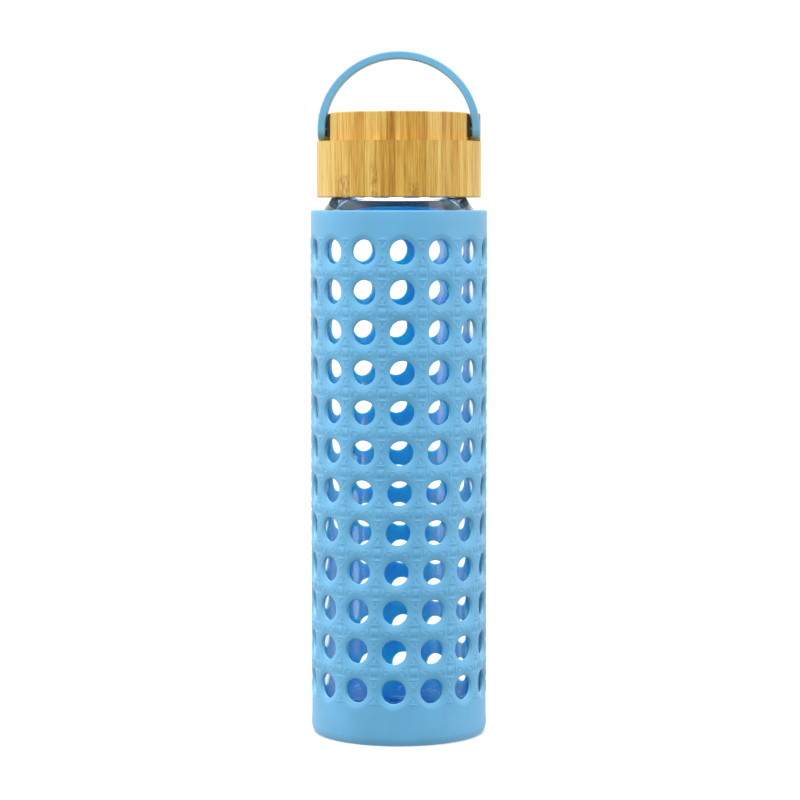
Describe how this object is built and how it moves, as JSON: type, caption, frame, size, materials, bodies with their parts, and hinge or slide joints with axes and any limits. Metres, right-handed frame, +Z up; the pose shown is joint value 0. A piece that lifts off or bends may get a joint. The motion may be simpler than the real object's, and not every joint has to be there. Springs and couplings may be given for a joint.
{
  "type": "water bottle",
  "caption": "Tall glass water bottle in a perforated silicone sleeve, closed by a two-tier bamboo screw lid with an arched strap handle that folds flat.",
  "frame": {"origin": "centre of the silicone sleeve's underside, on the surface that the bottle stands on", "axes": "+Z up along the bottle's axis, -Y the front that the handle folds down to, X along the handle's pivot axis"},
  "size_m": [0.0722, 0.0722, 0.2788],
  "materials": {
    "sleeve_silicone": "satin moulded silicone, sky blue",
    "clear_glass": "clear polished soda-lime or borosilicate glass",
    "gasket_silicone": "translucent white silicone",
    "insert_plastic": "moulded white polypropylene",
    "bamboo": "laminated bamboo strips, sanded and oiled",
    "hinge_black": "black moulded nylon",
    "screw_steel": "zinc plated steel",
    "washer_plastic": "black nylon",
    "pin_steel": "stainless steel",
    "handle_blue": "flexible moulded plastic, sky blue, satin"
  },
  "bodies": {
    "bottle": {"glass_bottle": "clear_glass", "silicone_sleeve": "sleeve_silicone"},
    "seal": {"sealing_gasket": "gasket_silicone"},
    "lid": {"bamboo_lid": "bamboo", "threaded_insert": "insert_plastic", "hinge_plate_left": "hinge_black", "hinge_plate_right": "hinge_black", "hinge_plate_screws": "screw_steel", "pin_washers": "washer_plastic", "pivot_pin_left": "pin_steel", "pivot_pin_right": "pin_steel"},
    "handle": {"handle": "handle_blue"}
  },
  "joints": [
    {"name": "lid_rise", "type": "slide", "parent": "bottle", "child": "seal", "axis": [0, 0, 1], "range_m": [0, 0.01694]},
    {"name": "lid_turn", "type": "hinge", "parent": "seal", "child": "lid", "pos_m": [0, 0, 0.236], "axis": [0, 0, 1], "range_deg": [0, 1440]},
    {"name": "handle_fold", "type": "hinge", "parent": "lid", "child": "handle", "pos_m": [0, -0.0006, 0.247], "axis": [1, 0, 0], "range_deg": [0, 90]}
  ],
  "couplings": [
    {"joint": "lid_rise", "follows": "lid_turn", "m_per_rad": 0.00067375}
  ]
}
